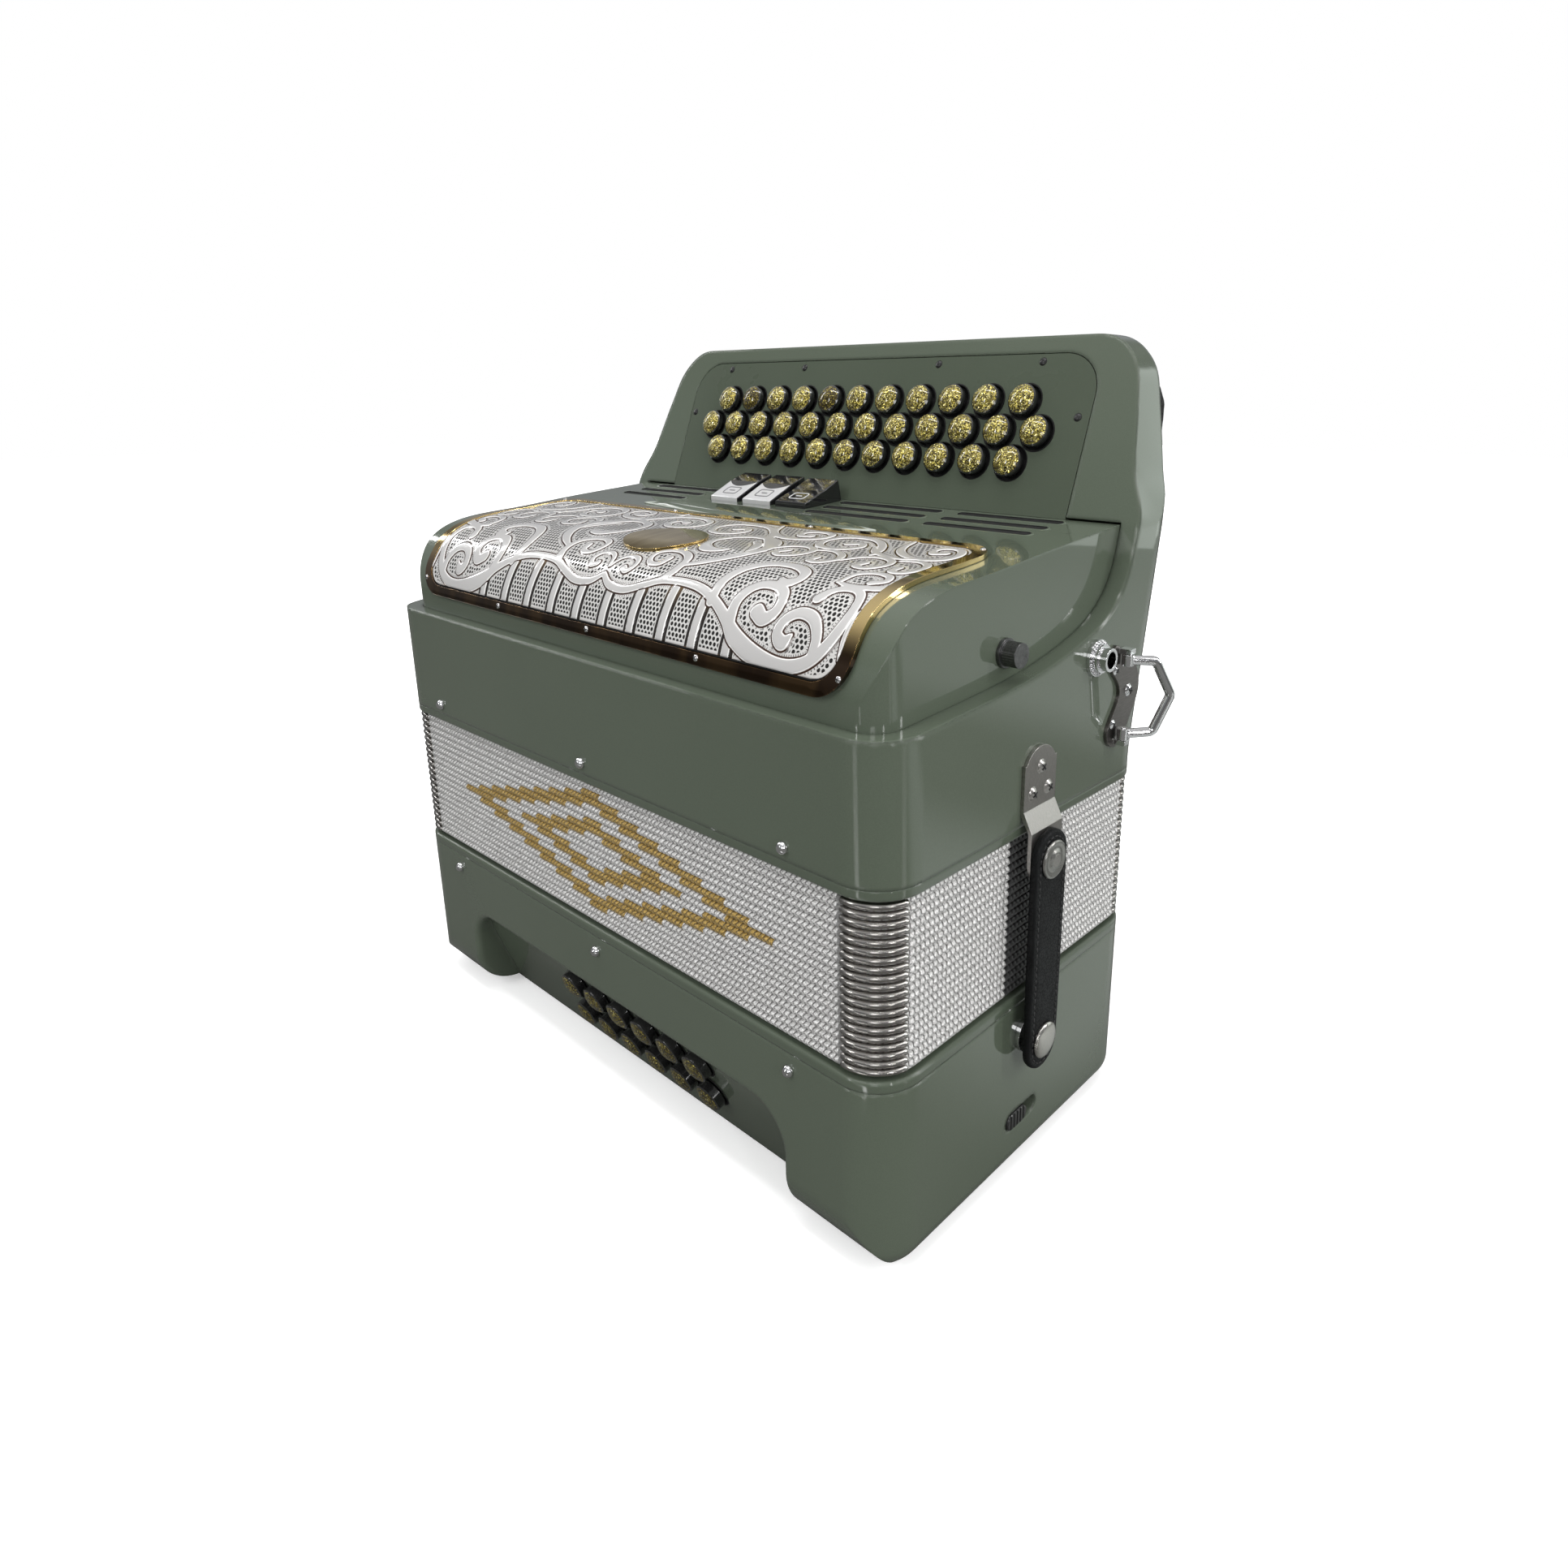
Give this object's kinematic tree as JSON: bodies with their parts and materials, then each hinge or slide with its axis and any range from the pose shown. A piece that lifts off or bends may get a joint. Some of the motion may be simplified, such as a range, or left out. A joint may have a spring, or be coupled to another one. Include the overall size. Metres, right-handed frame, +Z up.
{
  "type": "button accordion",
  "caption": "Diatonic button accordion with a leaning three-row fingerboard, pierced white grille, cord-covered bellows and a sloped bass button panel.",
  "frame": {"origin": "centre of the long and short sides of the casings, on the plane the rubber feet rest on", "axes": "+Z up from the bass end to the treble end along the bellows travel; -Y is the grille side; +X is the end with the swinging strap ring, and the long side lies along X"},
  "size_m": [0.3518, 0.1946, 0.3166],
  "materials": {
    "green": "gloss lacquer, sage green",
    "board": "gloss lacquer, sage green",
    "grille": "satin white, pierced",
    "gold": "mirror gold plate",
    "key": "black with gold flake caps",
    "wood": "plain, sanded",
    "black": "gloss black",
    "silver_black": "silver face, black top",
    "steel": "brushed",
    "chrome": "polished",
    "dark_steel": "dark, knurled",
    "cord": "twisted cord over folded card",
    "leather": "black, stitched",
    "rubber": "matt"
  },
  "bodies": {
    "bass_end": {"bass_casing": "green", "bass_bellows_frame": "green", "bass_reed_blocks": "wood", "bass_fittings": "steel", "bass_hand_strap": "leather", "rubber_feet": "rubber", "bellows_folds": "cord"},
    "treble_end": {"treble_casing": "green", "button_board": "board", "treble_cover": "green", "grille_plate": "grille", "grille_trim": "gold", "treble_action_board": "wood", "treble_reed_blocks": "wood", "treble_fittings": "steel", "palm_pad": "leather", "treble_bellows_frame": "green"},
    "bellows_straps": {"bellows_straps": "leather"},
    "strap_ring": {"strap_ring": "chrome"},
    "air_lever": {"air_lever": "black"},
    "cover_thumbscrew": {"cover_thumbscrew": "dark_steel"},
    "bass_row_1": {"bass_buttons_row_1": "key"},
    "bass_row_2": {"bass_buttons_row_2": "key"},
    "register_1": {"register_rocker_1": "silver_black"},
    "register_2": {"register_rocker_2": "silver_black"},
    "register_3": {"register_rocker_3": "black"},
    "treble_key_01": {"treble_key_01": "key"},
    "treble_key_02": {"treble_key_02": "key"},
    "treble_key_03": {"treble_key_03": "key"},
    "treble_key_04": {"treble_key_04": "key"},
    "treble_key_05": {"treble_key_05": "key"},
    "treble_key_06": {"treble_key_06": "key"},
    "treble_key_07": {"treble_key_07": "key"},
    "treble_key_08": {"treble_key_08": "key"},
    "treble_key_09": {"treble_key_09": "key"},
    "treble_key_10": {"treble_key_10": "key"},
    "treble_key_11": {"treble_key_11": "key"},
    "treble_key_12": {"treble_key_12": "key"},
    "treble_key_13": {"treble_key_13": "key"},
    "treble_key_14": {"treble_key_14": "key"},
    "treble_key_15": {"treble_key_15": "key"},
    "treble_key_16": {"treble_key_16": "key"},
    "treble_key_17": {"treble_key_17": "key"},
    "treble_key_18": {"treble_key_18": "key"},
    "treble_key_19": {"treble_key_19": "key"},
    "treble_key_20": {"treble_key_20": "key"},
    "treble_key_21": {"treble_key_21": "key"},
    "treble_key_22": {"treble_key_22": "key"},
    "treble_key_23": {"treble_key_23": "key"},
    "treble_key_24": {"treble_key_24": "key"},
    "treble_key_25": {"treble_key_25": "key"},
    "treble_key_26": {"treble_key_26": "key"},
    "treble_key_27": {"treble_key_27": "key"},
    "treble_key_28": {"treble_key_28": "key"},
    "treble_key_29": {"treble_key_29": "key"},
    "treble_key_30": {"treble_key_30": "key"},
    "treble_key_31": {"treble_key_31": "key"},
    "treble_key_32": {"treble_key_32": "key"},
    "treble_key_33": {"treble_key_33": "key"},
    "treble_key_34": {"treble_key_34": "key"}
  },
  "joints": [
    {"name": "bellows_open", "type": "slide", "parent": "bass_end", "child": "treble_end", "axis": [0, 0, 1], "range_m": [0, 0.3], "deforming": ["bellows_folds"]},
    {"name": "bellows_strap_swing", "type": "hinge", "parent": "treble_end", "child": "bellows_straps", "pos_m": [0, 0, 0.1345], "axis": [1, 0, 0], "range_deg": [-95, 95]},
    {"name": "air_lever_slide", "type": "slide", "parent": "bass_end", "child": "air_lever", "axis": [0, 1, 0], "range_m": [0, 0.0065], "stiffness_N_per_m": 150},
    {"name": "bass_row_1_press", "type": "slide", "parent": "bass_end", "child": "bass_row_1", "axis": [0, 0.9397, 0.342], "range_m": [0, 0.003], "stiffness_N_per_m": 300},
    {"name": "bass_row_2_press", "type": "slide", "parent": "bass_end", "child": "bass_row_2", "axis": [0, 0.9397, 0.342], "range_m": [0, 0.003], "stiffness_N_per_m": 300},
    {"name": "cover_thumbscrew_turn", "type": "hinge", "parent": "treble_end", "child": "cover_thumbscrew", "pos_m": [0.1525, -0.011, 0.209], "axis": [1, 0, 0], "continuous": true},
    {"name": "ring_swing", "type": "hinge", "parent": "treble_end", "child": "strap_ring", "pos_m": [0.16172, 0.054, 0.181], "axis": [0, 0, 1], "range_deg": [-50, 40]},
    {"name": "register_1_rock", "type": "hinge", "parent": "treble_end", "child": "register_1", "pos_m": [-0.0525, 0.051, 0.238], "axis": [-1, 0, 0], "range_deg": [0, 6]},
    {"name": "register_2_rock", "type": "hinge", "parent": "treble_end", "child": "register_2", "pos_m": [-0.029, 0.051, 0.238], "axis": [-1, 0, 0], "range_deg": [0, 6]},
    {"name": "register_3_rock", "type": "hinge", "parent": "treble_end", "child": "register_3", "pos_m": [-0.0055, 0.051, 0.238], "axis": [-1, 0, 0], "range_deg": [0, 6]},
    {"name": "treble_key_01_press", "type": "hinge", "parent": "treble_end", "child": "treble_key_01", "pos_m": [-0.0929, 0.06797, 0.22989], "axis": [-1, 0, 0], "range_deg": [0, 3], "stiffness_Nm_per_rad": 0.6},
    {"name": "treble_key_02_press", "type": "hinge", "parent": "treble_end", "child": "treble_key_02", "pos_m": [-0.0743, 0.06797, 0.22989], "axis": [-1, 0, 0], "range_deg": [0, 3], "stiffness_Nm_per_rad": 0.6},
    {"name": "treble_key_03_press", "type": "hinge", "parent": "treble_end", "child": "treble_key_03", "pos_m": [-0.0557, 0.06797, 0.22989], "axis": [-1, 0, 0], "range_deg": [0, 3], "stiffness_Nm_per_rad": 0.6},
    {"name": "treble_key_04_press", "type": "hinge", "parent": "treble_end", "child": "treble_key_04", "pos_m": [-0.0371, 0.06797, 0.22989], "axis": [-1, 0, 0], "range_deg": [0, 3], "stiffness_Nm_per_rad": 0.6},
    {"name": "treble_key_05_press", "type": "hinge", "parent": "treble_end", "child": "treble_key_05", "pos_m": [-0.0185, 0.06797, 0.22989], "axis": [-1, 0, 0], "range_deg": [0, 3], "stiffness_Nm_per_rad": 0.6},
    {"name": "treble_key_06_press", "type": "hinge", "parent": "treble_end", "child": "treble_key_06", "pos_m": [0.0001, 0.06797, 0.22989], "axis": [-1, 0, 0], "range_deg": [0, 3], "stiffness_Nm_per_rad": 0.6},
    {"name": "treble_key_07_press", "type": "hinge", "parent": "treble_end", "child": "treble_key_07", "pos_m": [0.0187, 0.06797, 0.22989], "axis": [-1, 0, 0], "range_deg": [0, 3], "stiffness_Nm_per_rad": 0.6},
    {"name": "treble_key_08_press", "type": "hinge", "parent": "treble_end", "child": "treble_key_08", "pos_m": [0.0373, 0.06797, 0.22989], "axis": [-1, 0, 0], "range_deg": [0, 3], "stiffness_Nm_per_rad": 0.6},
    {"name": "treble_key_09_press", "type": "hinge", "parent": "treble_end", "child": "treble_key_09", "pos_m": [0.0559, 0.06797, 0.22989], "axis": [-1, 0, 0], "range_deg": [0, 3], "stiffness_Nm_per_rad": 0.6},
    {"name": "treble_key_10_press", "type": "hinge", "parent": "treble_end", "child": "treble_key_10", "pos_m": [0.0745, 0.06797, 0.22989], "axis": [-1, 0, 0], "range_deg": [0, 3], "stiffness_Nm_per_rad": 0.6},
    {"name": "treble_key_11_press", "type": "hinge", "parent": "treble_end", "child": "treble_key_11", "pos_m": [0.0931, 0.06797, 0.22989], "axis": [-1, 0, 0], "range_deg": [0, 3], "stiffness_Nm_per_rad": 0.6},
    {"name": "treble_key_12_press", "type": "hinge", "parent": "treble_end", "child": "treble_key_12", "pos_m": [-0.1021, 0.06797, 0.22989], "axis": [-1, 0, 0], "range_deg": [0, 3.8], "stiffness_Nm_per_rad": 0.6},
    {"name": "treble_key_13_press", "type": "hinge", "parent": "treble_end", "child": "treble_key_13", "pos_m": [-0.0835, 0.06797, 0.22989], "axis": [-1, 0, 0], "range_deg": [0, 3.8], "stiffness_Nm_per_rad": 0.6},
    {"name": "treble_key_14_press", "type": "hinge", "parent": "treble_end", "child": "treble_key_14", "pos_m": [-0.0649, 0.06797, 0.22989], "axis": [-1, 0, 0], "range_deg": [0, 3.8], "stiffness_Nm_per_rad": 0.6},
    {"name": "treble_key_15_press", "type": "hinge", "parent": "treble_end", "child": "treble_key_15", "pos_m": [-0.0463, 0.06797, 0.22989], "axis": [-1, 0, 0], "range_deg": [0, 3.8], "stiffness_Nm_per_rad": 0.6},
    {"name": "treble_key_16_press", "type": "hinge", "parent": "treble_end", "child": "treble_key_16", "pos_m": [-0.0277, 0.06797, 0.22989], "axis": [-1, 0, 0], "range_deg": [0, 3.8], "stiffness_Nm_per_rad": 0.6},
    {"name": "treble_key_17_press", "type": "hinge", "parent": "treble_end", "child": "treble_key_17", "pos_m": [-0.0091, 0.06797, 0.22989], "axis": [-1, 0, 0], "range_deg": [0, 3.8], "stiffness_Nm_per_rad": 0.6},
    {"name": "treble_key_18_press", "type": "hinge", "parent": "treble_end", "child": "treble_key_18", "pos_m": [0.0095, 0.06797, 0.22989], "axis": [-1, 0, 0], "range_deg": [0, 3.8], "stiffness_Nm_per_rad": 0.6},
    {"name": "treble_key_19_press", "type": "hinge", "parent": "treble_end", "child": "treble_key_19", "pos_m": [0.0281, 0.06797, 0.22989], "axis": [-1, 0, 0], "range_deg": [0, 3.8], "stiffness_Nm_per_rad": 0.6},
    {"name": "treble_key_20_press", "type": "hinge", "parent": "treble_end", "child": "treble_key_20", "pos_m": [0.0467, 0.06797, 0.22989], "axis": [-1, 0, 0], "range_deg": [0, 3.8], "stiffness_Nm_per_rad": 0.6},
    {"name": "treble_key_21_press", "type": "hinge", "parent": "treble_end", "child": "treble_key_21", "pos_m": [0.0653, 0.06797, 0.22989], "axis": [-1, 0, 0], "range_deg": [0, 3.8], "stiffness_Nm_per_rad": 0.6},
    {"name": "treble_key_22_press", "type": "hinge", "parent": "treble_end", "child": "treble_key_22", "pos_m": [0.0839, 0.06797, 0.22989], "axis": [-1, 0, 0], "range_deg": [0, 3.8], "stiffness_Nm_per_rad": 0.6},
    {"name": "treble_key_23_press", "type": "hinge", "parent": "treble_end", "child": "treble_key_23", "pos_m": [0.1025, 0.06797, 0.22989], "axis": [-1, 0, 0], "range_deg": [0, 3.8], "stiffness_Nm_per_rad": 0.6},
    {"name": "treble_key_24_press", "type": "hinge", "parent": "treble_end", "child": "treble_key_24", "pos_m": [-0.0931, 0.06797, 0.22989], "axis": [-1, 0, 0], "range_deg": [0, 5.3], "stiffness_Nm_per_rad": 0.6},
    {"name": "treble_key_25_press", "type": "hinge", "parent": "treble_end", "child": "treble_key_25", "pos_m": [-0.0745, 0.06797, 0.22989], "axis": [-1, 0, 0], "range_deg": [0, 5.3], "stiffness_Nm_per_rad": 0.6},
    {"name": "treble_key_26_press", "type": "hinge", "parent": "treble_end", "child": "treble_key_26", "pos_m": [-0.0559, 0.06797, 0.22989], "axis": [-1, 0, 0], "range_deg": [0, 5.3], "stiffness_Nm_per_rad": 0.6},
    {"name": "treble_key_27_press", "type": "hinge", "parent": "treble_end", "child": "treble_key_27", "pos_m": [-0.0373, 0.06797, 0.22989], "axis": [-1, 0, 0], "range_deg": [0, 5.3], "stiffness_Nm_per_rad": 0.6},
    {"name": "treble_key_28_press", "type": "hinge", "parent": "treble_end", "child": "treble_key_28", "pos_m": [-0.0187, 0.06797, 0.22989], "axis": [-1, 0, 0], "range_deg": [0, 5.3], "stiffness_Nm_per_rad": 0.6},
    {"name": "treble_key_29_press", "type": "hinge", "parent": "treble_end", "child": "treble_key_29", "pos_m": [-0.0001, 0.06797, 0.22989], "axis": [-1, 0, 0], "range_deg": [0, 5.3], "stiffness_Nm_per_rad": 0.6},
    {"name": "treble_key_30_press", "type": "hinge", "parent": "treble_end", "child": "treble_key_30", "pos_m": [0.0185, 0.06797, 0.22989], "axis": [-1, 0, 0], "range_deg": [0, 5.3], "stiffness_Nm_per_rad": 0.6},
    {"name": "treble_key_31_press", "type": "hinge", "parent": "treble_end", "child": "treble_key_31", "pos_m": [0.0371, 0.06797, 0.22989], "axis": [-1, 0, 0], "range_deg": [0, 5.3], "stiffness_Nm_per_rad": 0.6},
    {"name": "treble_key_32_press", "type": "hinge", "parent": "treble_end", "child": "treble_key_32", "pos_m": [0.0557, 0.06797, 0.22989], "axis": [-1, 0, 0], "range_deg": [0, 5.3], "stiffness_Nm_per_rad": 0.6},
    {"name": "treble_key_33_press", "type": "hinge", "parent": "treble_end", "child": "treble_key_33", "pos_m": [0.0743, 0.06797, 0.22989], "axis": [-1, 0, 0], "range_deg": [0, 5.3], "stiffness_Nm_per_rad": 0.6},
    {"name": "treble_key_34_press", "type": "hinge", "parent": "treble_end", "child": "treble_key_34", "pos_m": [0.0929, 0.06797, 0.22989], "axis": [-1, 0, 0], "range_deg": [0, 5.3], "stiffness_Nm_per_rad": 0.6}
  ]
}
